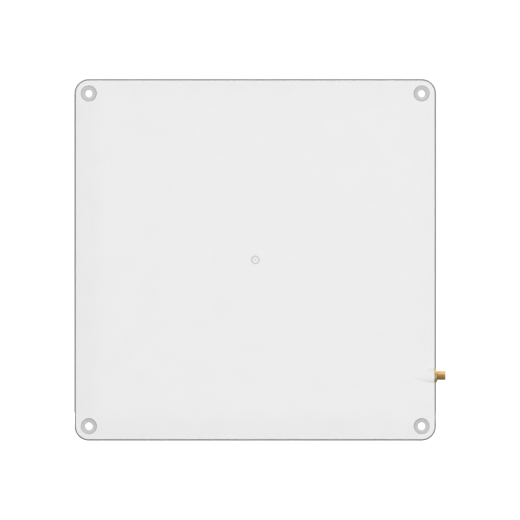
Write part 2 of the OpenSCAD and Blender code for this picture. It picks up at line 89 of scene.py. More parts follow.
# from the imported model: the jack, whose axis lies along x
THREAD_POINT = MOUNTS["coax_thread"]["pos_m"]
THREAD_R = MOUNTS["coax_thread"]["dims"]["r_mm"]
JACK_Y, JACK_Z = THREAD_POINT[2] / MM, -THREAD_POINT[1] / MM
NUT_LO, NUT_HI = drawing_box("jack_nut")
JACK_LO, JACK_HI = drawing_box("jack_body")
SEAL_LO, SEAL_HI = drawing_box("jack_seal")

# the cover's outline, its drafted wall and the small radii at the wall's top and foot
CORNER_R = 10.0
RIM_IN = HALF - NUT_LO.x
EDGE_R, FOOT_R = 0.1, 0.2
WALL_DRAFT = RIM_IN - EDGE_R

# the sloping border and its blend into the flat face
SLOPE = math.tan(math.radians(10))
BORDER_W, BLEND_W = 12.0, 8.5
FLAT_IN = BORDER_W + BLEND_W
FLAT_CORNER_R = 14.0
RIM_Z = DEPTH - SLOPE * (BLEND_W / 2 + BORDER_W - RIM_IN)

# the connector fairing, and the gate mark: a ring and a dot with rounded bottoms
FAIRING_R = DEPTH - JACK_Z
FAIRING_HALF_W, FAIRING_ROUNDNESS = 6.0, 2.05
FAIRING_END_R, FAIRING_FILLET = 0.3, 0.1
GATE_R, GATE_W, GATE_DEPTH, GATE_DOT, GATE_FULLNESS = 2.5, 0.95, 0.32, 0.6, 0.6

# the corner holes: counterbore, its softened edge, and the hole for the bushing
CBORE_R, CBORE_FLOOR = 5.5, 8.0
HOLE_EDGE_R, HOLE_STEPS = 0.12, 72
BUSH_HOLE_R, BUSH_HOLE_OVERCUT = 3.8, 0.5

# inside the cover
SKIRT_T, SIDE_WALL, FACE_SKIN, FAIRING_SKIN = 1.5, 2.5, 2.0, 1.2
RIB_INSET, RIB_T = 12.0, 1.5
CORNER_BOSS_R, SCREW_BOSS_R = 8.0, 3.2
PILOT_R, PILOT_TOP = 1.3, 7.1
SCREW_INSET, SCREW_PITCH = 7.5, 55.0
SEAT_HALF_W, SEAT_SPARE, SEAT_SKIM = 5.8, 0.02, 0.01
WASHER_POCKET_R, WASHER_POCKET_DEPTH = 4.2, 0.6
FIT_GAP = 0.1
BEYOND = 1.0

# the bushings
SLEEVE_WALL = 1.2
BUSH_EDGE_R, BUSH_MOUTH_R = 0.18, 0.22

# the jack: its flange with two flats, thread, socket and tail
FLANGE_R, FLANGE_T, FLANGE_FLAT = 3.7, 1.5, SEAL_HI.y - JACK_Y
FLANGE_OUT = SEAL_LO.x
FLANGE_X = FLANGE_OUT - FLANGE_T
TAIL_R, TAIL_CHAMFER = 2.5, 0.2
SOCKET_R, SOCKET_DEPTH, JACK_BORE_R = 2.3, 1.95, 2.1
MOUTH_W, MOUTH_DEPTH = 0.16, 0.12
PITCH = 25.4 / 36
PITCH_R = THREAD_R - 0.23
CORE_R = PITCH_R - 0.05
THREAD_DEPTH = 0.6 * PITCH
CREST_FLAT, FLANK_SHARE = 0.12, 0.72
THREAD_INTO_NUT, ROWS_PER_TURN = 0.35, 14
CORE_BEHIND_NUT = 0.2
TIP_CHAMFER = 0.5

# the nut: countersunk at both ends, and chamfered on its outer face
NUT_SINK, SINK_GAP = 0.3, 0.03
NUT_FACE_SHARE = 0.985
NUT_CHAMFER = math.tan(math.radians(30))
NUT_CHAMFER_ROWS, NUT_MIDDLE_ROW = 5, 0.7

# how finely the meshes are divided: steps round a circle, and how far apart points lie
CORNER_STEPS, TURN_STEPS, NUT_STEPS, GATE_STEPS = 14, 96, 144, 48
BOSS_STEPS, SCREW_BOSS_STEPS, BUSH_HOLE_STEPS, PILOT_STEPS = 48, 32, 64, 24
TUNNEL_STEPS, JACK_HOLE_STEPS = 48, 64
SIDE_REACH, SIDE_STEP, STOP_CLEAR = 104, 8.0, 0.5
FLAT_REACH, FLAT_STEP, GATE_CLEAR, HOLE_CLEAR = 96, 12.0, 6, 1.6
BORDER_INSETS = [1.3, 1.7, 2.3, 3.2, 4.4, 5.8, 7.4, 9.2, 11, BORDER_W]
FACE_LOOP = FLAT_IN + 2
FAIRING_MARGIN, FAIRING_STEP, FAIRING_ROW = 0.6, 0.29, 0.45
FAIRING_START, FAIRING_NEAR_END = FLAT_IN + 2, [0.03, 0.08, 0.16, 0.3, 0.6]
STOPS_OFF_FAIRING, POINTS_OFF_FAIRING, POINTS_OFF_ITS_END = 2, 1.2, FLAT_IN + 3
RAISED = 0.004    # a front point this far above the rim has a wall under it


def to_frame(points):
    """Drawing-plane points in millimetres, as row-frame points in metres."""
    p = np.asarray(points, float)
    return np.stack([p[:, 0], -p[:, 2], p[:, 1]], axis=1) * MM


# ---------------------------------------------------------------- the cover's outer surface
def crown_radius(inset):
    """Corner radius of the cover's contour at an inset from the panel's edge."""
    inset = np.asarray(inset, float)
    grow = (FLAT_CORNER_R - CORNER_R + RIM_IN) / (FLAT_IN - RIM_IN)
    return np.where(inset <= RIM_IN, CORNER_R - inset, CORNER_R - RIM_IN + grow * (inset - RIM_IN))


def inset_of(x, y):
    """How far in from the panel's edge a point lies, measured along the cover's own contours."""
    u, v = np.abs(x), np.abs(y)
    low, high = np.zeros_like(u), np.full_like(u, HALF - FLAT_CORNER_R)
    halvings = 40
    for _ in range(halvings):
        mid = (low + high) / 2
        r = crown_radius(mid)
        qu, qv = u - (HALF - mid - r), v - (HALF - mid - r)
        outside = np.hypot(np.maximum(qu, 0), np.maximum(qv, 0)) + np.minimum(np.maximum(qu, qv), 0) - r
        low, high = np.where(outside < 0, mid, low), np.where(outside < 0, high, mid)
    return (low + high) / 2


def crown_height(inset):
    """Height of the front at an inset: the straight border, then its blend into the flat face."""
    inset = np.asarray(inset, float)
    blend = DEPTH - SLOPE * np.maximum(FLAT_IN - inset, 0) ** 2 / (2 * BLEND_W)
    return np.where(inset >= BORDER_W, blend, RIM_Z + SLOPE * (inset - RIM_IN))


def smooth_max(a, b, k):
    """The larger of two heights, with their crease filled over a width of about k."""
    k = np.maximum(k, 1e-6)
    h = np.maximum(k - np.abs(a - b), 0) / k
    return np.maximum(a, b) + h * h * k / 4


def fairing_height(x, across):
    """Height of the fairing's arch, with a rounded end at the rim."""
    end = np.clip(FAIRING_END_R - (HALF - RIM_IN - x), 0, FAIRING_END_R)
    end_drop = FAIRING_END_R - np.sqrt(np.maximum(FAIRING_END_R ** 2 - end ** 2, 0))
    arc = np.maximum(1 - (across / FAIRING_HALF_W) ** FAIRING_ROUNDNESS, 0) ** (1 / FAIRING_ROUNDNESS)
    return JACK_Z + FAIRING_R * arc - end_drop


def front_height(x, y):
    """Height of the front of the cover, with its fairing and gate mark."""
    x, y = np.asarray(x, float), np.asarray(y, float)
    crown = crown_height(inset_of(x, y))
    across = np.abs(y - JACK_Y)
    near = (across < FAIRING_HALF_W) & (x > HALF - FLAT_IN)
    fill = FAIRING_FILLET * np.clip((DEPTH - crown) / (DEPTH - RIM_Z), 0, 1)
    height = np.where(near, smooth_max(crown, fairing_height(x, across), fill), crown)
    r = np.hypot(x, y)
    groove = np.clip(1 - ((r - GATE_R) / (GATE_W / 2)) ** 2, 0, 1)
    dot = np.clip(1 - (r / GATE_DOT) ** 2, 0, 1)
    return height - GATE_DEPTH * (groove ** GATE_FULLNESS + dot ** GATE_FULLNESS)


# ---------------------------------------------------------------- outlines
QUARTER_TURNS = ((1, 0), (0, 1), (-1, 0), (0, -1))    # cosine and sine


def turn_points(points, turn):
    """Flat points turned by one of QUARTER_TURNS."""
    cosine, sine = turn
    return [(x * cosine - y * sine, x * sine + y * cosine) for x, y in points]


def quarter(steps):
    """Angles from 0 to 90 degrees."""
    return np.linspace(0, math.pi / 2, steps + 1)


def corners(c):
    """The four points at a distance c from both middle lines."""
    return [(x * c, y * c) for x in (1, -1) for y in (1, -1)]


def ring_of(radius, steps, centre=(0, 0)):
    """Points round a circle."""
    a = np.arange(steps) * 2 * math.pi / steps
    return np.stack([centre[0] + radius * np.cos(a), centre[1] + radius * np.sin(a)], axis=1)


def rounded_square(inset, radius, right_stops=(), stops=()):
    """Points anticlockwise round a rounded square, with further points at the stops along its sides."""
    c = HALF - inset - radius
    arc = [(c + radius * math.cos(a), c + radius * math.sin(a)) for a in quarter(CORNER_STEPS)[1:-1]]
    points = []
    for side, turn in enumerate(QUARTER_TURNS):
        own = [s for s in (stops if side else right_stops) if abs(s) < c - STOP_CLEAR]
        points += turn_points([(HALF - inset, s) for s in (-c, *own, c)] + arc, turn)
    return np.array(points)


def across_jack(x0, x1, reach):
    """Rectangle from x0 to x1, reaching to both sides of the jack's axis."""
    return [(x0, JACK_Y - reach), (x1, JACK_Y - reach), (x1, JACK_Y + reach), (x0, JACK_Y + reach)]


def at_height(outline, z):
    """The points of a flat outline, at one height."""
    return [(*p, z) for p in outline]


FAIRING_REACH = FAIRING_HALF_W + FAIRING_MARGIN
SIDE_STOPS = list(np.arange(-SIDE_REACH, SIDE_REACH + 1, SIDE_STEP))
FAIRING_STOPS = list(np.arange(-FAIRING_REACH, FAIRING_REACH + 0.01, FAIRING_STEP) + JACK_Y)
OFF_FAIRING = FAIRING_HALF_W + STOPS_OFF_FAIRING
RIGHT_STOPS = sorted([s for s in SIDE_STOPS if abs(s - JACK_Y) > OFF_FAIRING] + FAIRING_STOPS)


# ---------------------------------------------------------------- bodies, as (points, faces)
def prism(outline, z0, z1):
    """An upright prism."""
    n = len(outline)
    points = at_height(outline, z0) + at_height(outline, z1)
    faces = [[i, (i + 1) % n, n + (i + 1) % n, n + i] for i in range(n)]
    return points, faces + [list(range(n))[::-1], list(range(n, 2 * n))]


def loft(rings):
    """A closed body through rings with the same number of points."""
    n = len(rings[0])
    points = [tuple(p) for r in rings for p in r]
    faces = []
    for k in range(len(rings) - 1):
        for i in range(n):
            a, b, j = k * n, (k + 1) * n, (i + 1) % n
            faces += [[a + i, a + j, b + j], [a + i, b + j, b + i]]
    last = (len(rings) - 1) * n
    return points, faces + [list(range(n))[::-1], list(range(last, last + n))]


def hoop(rings):
    """A closed body with a hole through it: its last ring joins its first."""
    n, count = len(rings[0]), len(rings)
    faces = []
    for k in range(count):
        a, b = k * n, (k + 1) % count * n
        faces += [[a + i, a + (i + 1) % n, b + (i + 1) % n, b + i] for i in range(n)]
    return [tuple(p) for r in rings for p in r], faces


def turned_rings(rows, steps, radius_at=None):
    """A ring of points round the z axis for each row (z, r)."""
    angles = np.arange(steps) * 2 * math.pi / steps
    rings = []
    for z, r in rows:
        radii = [radius_at(z, r, a) if radius_at else r for a in angles]
        rings.append([(q * math.cos(a), q * math.sin(a), z) for q, a in zip(radii, angles)])
    return rings


def lay_along_x(part, x):
    """Turns an upright body so that its z runs along the jack's axis from x."""
    points, faces = part
    return [(x + z, JACK_Y - v, JACK_Z + u) for u, v, z in points], faces


# ---------------------------------------------------------------- mesh objects
def new_object(name, points, faces):
    """A mesh object from drawing-plane points."""
    mesh = bpy.data.meshes.new(name)
    mesh.from_pydata([tuple(p) for p in to_frame(points)], [], [tuple(int(i) for i in f) for f in faces])
    mesh.validate()
    obj = bpy.data.objects.new(name, mesh)
    bpy.context.scene.collection.objects.link(obj)
    return obj


def outward(obj):
    """Makes all the faces of a closed mesh face out."""
    bm = bmesh.new()
    bm.from_mesh(obj.data)
    bmesh.ops.recalc_face_normals(bm, faces=bm.faces)
    bm.to_mesh(obj.data)
    bm.free()
    return obj


def joined(name, bodies):
    """One object from closed bodies that don't overlap."""
    points, faces = [], []
    for p, f in bodies:
        faces += [[i + len(points) for i in face] for face in f]
        points += [tuple(q) for q in p]
    return outward(new_object(name, points, faces))


def smooth_but_edges(obj, degrees=32):
    """Smooth shading, with sharp edges where faces meet at more than an angle."""
    obj.data.shade_smooth()
    obj.data.set_sharp_from_angle(angle=math.radians(degrees))
    return obj


def carve(obj, cutter):
    """Cuts one object out of another for good, and deletes the cutter."""
    mod = obj.modifiers.new("cut", "BOOLEAN")
    mod.object, mod.operation, mod.solver = cutter, "DIFFERENCE", "EXACT"
    mesh = bpy.data.meshes.new_from_object(obj.evaluated_get(bpy.context.evaluated_depsgraph_get()))
    old = obj.data
    obj.modifiers.clear()
    obj.data = mesh
    mesh.name = obj.name
    bpy.data.meshes.remove(old)
    bpy.data.objects.remove(cutter)


def carve_posts(obj, name, radius, steps, centres, z0, z1):
    """Cuts a round post out of an object at each centre."""
    carve(obj, joined(name, [prism(ring_of(radius, steps, c), z0, z1) for c in centres]))


# ---------------------------------------------------------------- the cover
def blend_insets(steps):
    """Insets across the blend, up to the flat face."""
    return [BORDER_W + BLEND_W * k / steps for k in range(1, steps + 1)]


def flat_grid():
    """Points over the flat face, clear of the gate mark."""
    side = np.arange(-FLAT_REACH, FLAT_REACH + 1, FLAT_STEP)
    x, y = np.meshgrid(side, side)
    keep = np.hypot(x, y) > GATE_CLEAR
    return np.stack([x[keep], y[keep]], axis=1)


def fairing_grid():
    """Points over the fairing, closer together at its end."""
    end = HALF - RIM_IN
    rows = np.arange(end - 1, HALF - FAIRING_START, -FAIRING_ROW)
    xs = np.concatenate([end - np.array(FAIRING_NEAR_END), rows])
    x, y = np.meshgrid(xs, np.array(FAIRING_STOPS))
    return np.stack([x.ravel(), y.ravel()], axis=1)


def gate_rings():
    """Points over the gate mark."""
    dot = np.linspace(0.1, GATE_DOT + 0.15, 8)
    groove = np.linspace(GATE_R - 0.6, GATE_R + 0.6, 15)
    radii = np.concatenate([dot, groove, [4.0, GATE_CLEAR]])
    return np.concatenate([ring_of(r, GATE_STEPS) for r in radii] + [np.zeros((1, 2))])


def hole_rings():
    """Points round the counterbores."""
    edge = CBORE_R + HOLE_EDGE_R
    rings = ((edge, HOLE_STEPS), (edge + 0.3, HOLE_STEPS), (CBORE_R + 1.1, HOLE_STEPS // 2))
    return [ring_of(r, steps, c) for r, steps in rings for c in corners(HOLE_C)]


def crown_points():
    """The outer boundary of the front surface, and the points inside it."""
    boundary = rounded_square(RIM_IN, CORNER_R - RIM_IN, RIGHT_STOPS, SIDE_STOPS)
    insets = BORDER_INSETS + blend_insets(8) + [FACE_LOOP]
    loops = [rounded_square(i, float(crown_radius(i)), SIDE_STOPS, SIDE_STOPS) for i in insets]
    inside = np.concatenate(loops + [flat_grid()])
    clear = np.ones(len(inside), bool)
    for c in corners(HOLE_C):
        clear &= np.hypot(*(inside - c).T) > CBORE_R + HOLE_CLEAR
    beside = np.abs(inside[:, 1] - JACK_Y) < FAIRING_HALF_W + POINTS_OFF_FAIRING
    clear &= ~((inside[:, 0] > HALF - POINTS_OFF_ITS_END) & beside)
    return boundary, np.concatenate([inside[clear], fairing_grid(), gate_rings()] + hole_rings())


def front_sheet():
    """The front seen flat: its boundary, its points, its triangles, and the boundary points' numbers."""
    boundary, inside = crown_points()
    n, hair = len(boundary), 1e-5
    flat = [Vector(p) for p in np.concatenate([boundary, inside])]
    edges = [(i, (i + 1) % n) for i in range(n)]
    out, _, tris, origin, _, _ = delaunay_2d_cdt(flat, edges, [], 0, hair, True)
    xy = np.array([tuple(p) for p in out])
    number = {o: k for k, olds in enumerate(origin) for o in olds}
    middle = xy[np.array(tris)].mean(axis=1)
    keep = inset_of(middle[:, 0], middle[:, 1]) > RIM_IN - 0.01
    for c in corners(HOLE_C):
        keep &= np.hypot(*(middle - c).T) > (CBORE_R + HOLE_EDGE_R) * math.cos(math.pi / HOLE_STEPS)
    return boundary, xy, [list(t) for t, k in zip(tris, keep) if k], [number[i] for i in range(n)]


class Shell:
    """The points and faces of one mesh while it is put together."""

    def __init__(self, points, faces):
        self.points, self.faces = points, faces

    def add_ring(self, ring):
        """Adds points and gives their numbers."""
        start = len(self.points)
        self.points.extend(tuple(p) for p in ring)
        return list(range(start, len(self.points)))

    def strip(self, upper, lower):
        """Joins two rings, which may share points."""
        m = len(upper)
        for i in range(m):
            j = (i + 1) % m
            face = list(dict.fromkeys([upper[i], lower[i], lower[j], upper[j]]))
            if len(face) > 2:
                self.faces.append(face)

    def used(self):
        """The points that faces use, and the faces numbered by them."""
        kept = sorted({i for f in self.faces for i in f})
        number = {old: k for k, old in enumerate(kept)}
        return [self.points[i] for i in kept], [[number[i] for i in f] for f in self.faces]


def wall_profile():
    """(inset, z) round the top edge, down the drafted wall and round the foot."""
    wall_top = RIM_Z - EDGE_R
    fall = WALL_DRAFT / (wall_top - FOOT_R)
    edge = [(WALL_DRAFT + EDGE_R * (1 - math.cos(a)), wall_top + EDGE_R * math.sin(a)) for a in quarter(5)]
    wall = [((z - FOOT_R) * fall, z) for z in np.linspace(wall_top, FOOT_R, 5)]
    foot = [(FOOT_R * (1 - math.cos(a)), FOOT_R * (1 - math.sin(a))) for a in quarter(4)]
    return edge[-2::-1] + wall[1:] + foot[1:]


def add_walls(shell, boundary, top):
    """Closes the shell from the front's boundary down to the foot and across the back."""
    raised = [shell.points[i][2] - RIM_Z > RAISED for i in top]
    rim = shell.add_ring(at_height(boundary, RIM_Z))
    above = [r if up else t for r, t, up in zip(rim, top, raised)]
    shell.strip(top, above)
    for inset, z in wall_profile():
        below = shell.add_ring(at_height(rounded_square(inset, CORNER_R - inset, RIGHT_STOPS, SIDE_STOPS), z))
        shell.strip(above, below)
        above = below
    shell.faces.append(above)


def add_counterbore(shell, xy, centre):
    """Goes round the edge of a counterbore, down its wall and across its floor."""
    first = ring_of(CBORE_R + HOLE_EDGE_R, HOLE_STEPS, centre)
    above = [int(np.hypot(*(xy - p).T).argmin()) for p in first]
    heights = front_height(first[:, 0], first[:, 1])
    for a in quarter(4)[1:]:
        ring = ring_of(CBORE_R + HOLE_EDGE_R * (1 - math.sin(a)), HOLE_STEPS, centre)
        drop = HOLE_EDGE_R * (1 - math.cos(a))
        below = shell.add_ring([(*p, h - drop) for p, h in zip(ring, heights)])
        shell.strip(above, below)
        above = below
    floor = shell.add_ring(at_height(ring_of(CBORE_R, HOLE_STEPS, centre), CBORE_FLOOR))
    shell.strip(above, floor)
    shell.faces.append(floor)


def make_front_cover():
    """Moulded cover: front with softened edges and counterbores, hollowed out from behind."""
    boundary, xy, faces, top = front_sheet()
    shell = Shell([(x, y, z) for (x, y), z in zip(xy, front_height(xy[:, 0], xy[:, 1]))], faces)
    add_walls(shell, boundary, top)
    for c in corners(HOLE_C):
        add_counterbore(shell, xy, c)
    cover = outward(new_object("cover_shell", *shell.used()))
    hollow_out(cover)
    return smooth_but_edges(cover)


def screw_spots():
    """Where the twelve cover screws go."""
    row = [(i * SCREW_PITCH, HALF - SCREW_INSET) for i in (-1, 0, 1)]
    return [spot for turn in QUARTER_TURNS for spot in turn_points(row, turn)]


def make_cavity():
    """The room inside the cover, without the bosses, the rib and the jack's seat."""
    rings = []
    for k, inset in enumerate([SIDE_WALL, SIDE_WALL + WALL_DRAFT, BORDER_W] + blend_insets(4)):
        radius = float(crown_radius(inset)) if k > 1 else CORNER_R - inset
        z = float(crown_height(inset)) - FACE_SKIN if k else LAND_Z - BEYOND
        rings.append(at_height(rounded_square(inset, radius), z))
    cavity = joined("cavity", [loft(rings)])
    through = (-BEYOND, DEPTH + BEYOND)
    carve_posts(cavity, "corner_bosses", CORNER_BOSS_R, BOSS_STEPS, corners(HOLE_C), *through)
    carve_posts(cavity, "screw_bosses", SCREW_BOSS_R, SCREW_BOSS_STEPS, screw_spots(), *through)
    carve(cavity, joined("rib", [frame_prism(RIB_INSET, CORNER_R, RIB_T, *through)]))
    carve(cavity, joined("seat", [prism(across_jack(FLANGE_X, HALF, SEAT_HALF_W), *through)]))
    return cavity


def frame_prism(inset, radius, width, z0, z1):
    """An upright frame between two rounded squares, as (points, faces)."""
    outer = rounded_square(inset, radius)
    inner = rounded_square(inset + width, radius - width)
    return hoop([at_height(line, z) for line, z in ((outer, z0), (outer, z1), (inner, z1), (inner, z0))])


def hollow_out(cover):
    """Cuts the cavity, the rebate for the plate, the holes and the room for the jack."""
    carve(cover, make_cavity())
    rebate = rounded_square(SKIRT_T, CORNER_R - SKIRT_T)
    carve(cover, joined("rebate", [prism(rebate, -BEYOND, LAND_Z)]))
    bush_top = CBORE_FLOOR + BUSH_HOLE_OVERCUT
    carve_posts(cover, "bush_holes", BUSH_HOLE_R, BUSH_HOLE_STEPS, corners(HOLE_C), -BEYOND, bush_top)
    carve_posts(cover, "pilots", PILOT_R, PILOT_STEPS, screw_spots(), -BEYOND, PILOT_TOP)
    cut_jack_room(cover)


def cut_jack_room(cover):
    """Cuts the hollow behind the jack, its flange pocket, hole and washer pocket, and the nut's seat."""
    hollow_r, back_x = FAIRING_R - FAIRING_SKIN, HALF - FLAT_IN
    tunnel = prism(ring_of(hollow_r, TUNNEL_STEPS), 0, FLANGE_X - back_x)
    carve(cover, joined("tunnel", [lay_along_x(tunnel, back_x)]))
    trench = across_jack(back_x, FLANGE_X, hollow_r)
    carve(cover, joined("trench", [prism(trench, LAND_Z - BEYOND, JACK_Z)]))
    pocket = ring_of(FLANGE_R + FIT_GAP, JACK_HOLE_STEPS)
    pocket[:, 1] = np.clip(pocket[:, 1], -FLANGE_FLAT - FIT_GAP, FLANGE_FLAT + FIT_GAP)
    pocket = prism(pocket, 0, SEAL_HI.x - FLANGE_X + BEYOND)
    carve(cover, joined("flange_pocket", [lay_along_x(pocket, FLANGE_X - BEYOND)]))
    bores = (
        (THREAD_R + FIT_GAP, FLANGE_X - BEYOND),
        (WASHER_POCKET_R, NUT_LO.x - WASHER_POCKET_DEPTH),
        (FAIRING_R + SEAT_SPARE, NUT_LO.x - SEAT_SKIM),
    )
    for radius, x in bores:
        bore = prism(ring_of(radius, JACK_HOLE_STEPS), 0, HALF + BEYOND - x)
        carve(cover, joined("seat_cut", [lay_along_x(bore, x)]))


# ---------------------------------------------------------------- turned pieces
def make_bushing(number, centre):
    """Flanged sleeve with softened edges."""
    bore_r, flange_r, top = HOLES["hole_r_mm"], BUSHING_HI.x - HOLE_C, BUSHING_HI.z
    sleeve_r = bore_r + SLEEVE_WALL
    soft, mouth = BUSH_EDGE_R, BUSH_MOUTH_R
    rows = [(PLATE_T, bore_r), (PLATE_T, sleeve_r), (CBORE_FLOOR, sleeve_r), (CBORE_FLOOR, flange_r)]
    rows += [(top - soft + soft * math.sin(a), flange_r - soft + soft * math.cos(a)) for a in quarter(4)]
    for a in quarter(4)[::-1]:
        rows.append((top - mouth * (1 - math.sin(a)), bore_r + mouth * (1 - math.cos(a))))
    obj = joined(f"bushing_{number}", [hoop(turned_rings(rows, TURN_STEPS))])
    obj.location = (centre[0] * MM, 0, centre[1] * MM)
    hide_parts("mount_bushings")
    return smooth_but_edges(obj, degrees=40)


def thread_wave(phase):
    """Share of the thread's depth below its crest, for a 60 degree thread with small flats."""
    saw = abs((phase % 1.0) * 2 - 1)
    return min(max((saw - CREST_FLAT) / FLANK_SHARE, 0), 1)


def make_jack_body():
    """Coaxial jack with a true helical thread, a socket bore, a flange with flats and a tail."""
    tip, nut_out, tail = JACK_HI.x, NUT_HI.x, JACK_LO.x
    rows = [(tail, TAIL_R - TAIL_CHAMFER), (tail + TAIL_CHAMFER, TAIL_R), (FLANGE_X, TAIL_R)]
    rows += [(FLANGE_X, FLANGE_R), (FLANGE_OUT, FLANGE_R), (FLANGE_OUT, CORE_R)]
    rows += [(NUT_LO.x - CORE_BEHIND_NUT, CORE_R)]
    rows += [(x, THREAD_R) for x in np.arange(nut_out - THREAD_INTO_NUT, tip - 0.001, PITCH / ROWS_PER_TURN)]
    rows += [(tip, THREAD_R), (tip, SOCKET_R + MOUTH_W), (tip - MOUTH_DEPTH, SOCKET_R)]
    rows += [(tip - SOCKET_DEPTH, SOCKET_R), (tip - SOCKET_DEPTH, JACK_BORE_R), (FLANGE_X, JACK_BORE_R)]

    def radius_at(x, r, a):
        if r == FLANGE_R:
            return min(r, FLANGE_FLAT / max(abs(math.sin(a)), 1e-6))
        if r != THREAD_R:
            return r
        cut = THREAD_DEPTH * thread_wave(x / PITCH - a / (2 * math.pi))
        lead = TIP_CHAMFER * max(1 - (tip - x) / TIP_CHAMFER, 0)
        inside_nut = PITCH_R + NUT_SINK - (nut_out - x) - SINK_GAP
        return min(r - cut, THREAD_R - lead, inside_nut if x < nut_out else r)

    obj = joined("jack_threaded_body", [lay_along_x(loft(turned_rings(rows, TURN_STEPS, radius_at)), 0)])
    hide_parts("jack_body")
    return smooth_but_edges(obj, degrees=28)


def make_nut():
    """Hexagonal nut with chamfered corners on its outer face and a countersunk bore."""
    apothem = (NUT_HI.z - NUT_LO.z) / 2
    corner, face_r = apothem / math.cos(math.pi / 6), apothem * NUT_FACE_SHARE
    x0, x1, bore, sink = NUT_LO.x, NUT_HI.x, PITCH_R, NUT_SINK
    chamfer = (corner - face_r) * NUT_CHAMFER / NUT_CHAMFER_ROWS
    rows = [(x0, bore + sink), (x0, corner), (x0 + NUT_MIDDLE_ROW, corner)]
    rows += [(x1 - chamfer * k, corner) for k in range(NUT_CHAMFER_ROWS, 0, -1)]
    rows += [(x1, face_r), (x1, bore + sink), (x1 - sink, bore), (x0 + sink, bore)]

    def radius_at(x, r, a):
        if r != corner:
            return r
        side = (a + math.pi / 6) % (math.pi / 3) - math.pi / 6
        cone = face_r + (x1 - x) / NUT_CHAMFER
        return min(apothem / math.cos(side), cone)

    obj = joined("hex_nut", [lay_along_x(hoop(turned_rings(rows, NUT_STEPS, radius_at)), 0)])
    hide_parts("jack_nut")
    return smooth_but_edges(obj, degrees=20)


# ---------------------------------------------------------------- material helpers
def material(name, base, roughness, metallic=0.0):
    """A new material and its shader."""
    mat = bpy.data.materials.new(name)
    mat.use_nodes = True
    shader = mat.node_tree.nodes["Principled BSDF"]
    shader.inputs["Base Color"].default_value = (*base, 1)
    shader.inputs["Roughness"].default_value = roughness
    shader.inputs["Metallic"].default_value = metallic
    return mat, shader


def add(tree, kind, **settings):
    """A new node, with its properties or inputs set by name."""
    node = tree.nodes.new(kind)
    for key, value in settings.items():
        if hasattr(node, key):
            setattr(node, key, value)
        else:
            node.inputs[key].default_value = value
    return node


def grey_ramp(tree, stops):
    """A colour ramp of greys, with stops (position, level)."""
    ramp = add(tree, "ShaderNodeValToRGB")
    while len(ramp.color_ramp.elements) < len(stops):
        ramp.color_ramp.elements.new(0.5)
    for element, (at, level) in zip(ramp.color_ramp.elements, stops):
        element.position, element.color = at, (level, level, level, 1)
    return ramp


def noise(mat, scale, detail=3.0, stretch=None):
    """Noise in the piece's own coordinates, in features per metre."""
    tree = mat.node_tree
    texture = add(tree, "ShaderNodeTexNoise", Scale=scale, Detail=detail)
    where = add(tree, "ShaderNodeTexCoord").outputs["Object"]
    if stretch:
        mapping = add(tree, "ShaderNodeMapping", Scale=stretch)
        tree.links.new(where, mapping.inputs["Vector"])
        where = mapping.outputs["Vector"]
    tree.links.new(where, texture.inputs["Vector"])
    return texture


def shade(colour, level):
    """A colour made darker or lighter, at most white."""
    return tuple(min(c * level, 1) for c in colour)


def vary_colour(mat, shader, texture, low, high, start=0.35, end=0.65):
    """Lets a texture move the base colour between two colours."""
    tree = mat.node_tree
    ramp = add(tree, "ShaderNodeValToRGB")
    for element, at, colour in zip(ramp.color_ramp.elements, (start, end), (low, high)):
        element.position, element.color = at, (*colour, 1)
    tree.links.new(texture.outputs["Fac"], ramp.inputs["Fac"])
    tree.links.new(ramp.outputs["Color"], shader.inputs["Base Color"])


def vary_roughness(mat, shader, texture, low, high):
    """Lets a texture move the roughness between two values."""
    tree = mat.node_tree
    span = add(tree, "ShaderNodeMapRange")
    span.inputs["From Min"].default_value, span.inputs["From Max"].default_value = 0.3, 0.7
    span.inputs["To Min"].default_value, span.inputs["To Max"].default_value = low, high
    tree.links.new(texture.outputs["Fac"], span.inputs["Value"])
    tree.links.new(span.outputs["Result"], shader.inputs["Roughness"])


def bumpy(mat, shader, texture, height_m, strength):
    """Lets a texture raise the surface."""
    tree = mat.node_tree
    bump = add(tree, "ShaderNodeBump", Strength=strength, Distance=height_m)
    tree.links.new(texture.outputs["Fac"], bump.inputs["Height"])
    tree.links.new(bump.outputs["Normal"], shader.inputs["Normal"])


def dress(obj, mat):
    """Gives an object one material."""
    obj.data.materials.clear()
    obj.data.materials.append(mat)


# ---------------------------------------------------------------- materials
# the gate mark's painted shade: how far out it is worked out, its soft edge, and the grey levels that
# multiply the base colour over the dot and the ring
MARK_REACH, MARK_EDGE = 4.0, 0.1
DOT_SHADE_LEVEL, RING_SHADE_LEVEL = 0.8, 0.72
MIX_A, MIX_B, MIX_RESULT = 6, 7, 2    # the Mix node's colour sockets


def cover_plastic():
    """Off-white moulded plastic with a fine spark-eroded texture, and painted shade over the gate mark."""
    mat, shader = material("cover_plastic", (0.80, 0.80, 0.80), 0.55)
    shader.inputs["Specular IOR Level"].default_value = 0.08
    vary_colour(mat, shader, noise(mat, 60, detail=4), (0.796, 0.796, 0.796), (0.806, 0.806, 0.806))
    # painted shade: the base colour is darkened over the gate mark's recessed ring and dot
    paint_gate_mark_shade(mat, shader)
    vary_roughness(mat, shader, noise(mat, 400), 0.50, 0.60)
    bumpy(mat, shader, noise(mat, 1800, detail=2), height_m=0.000012, strength=0.5)
    return mat


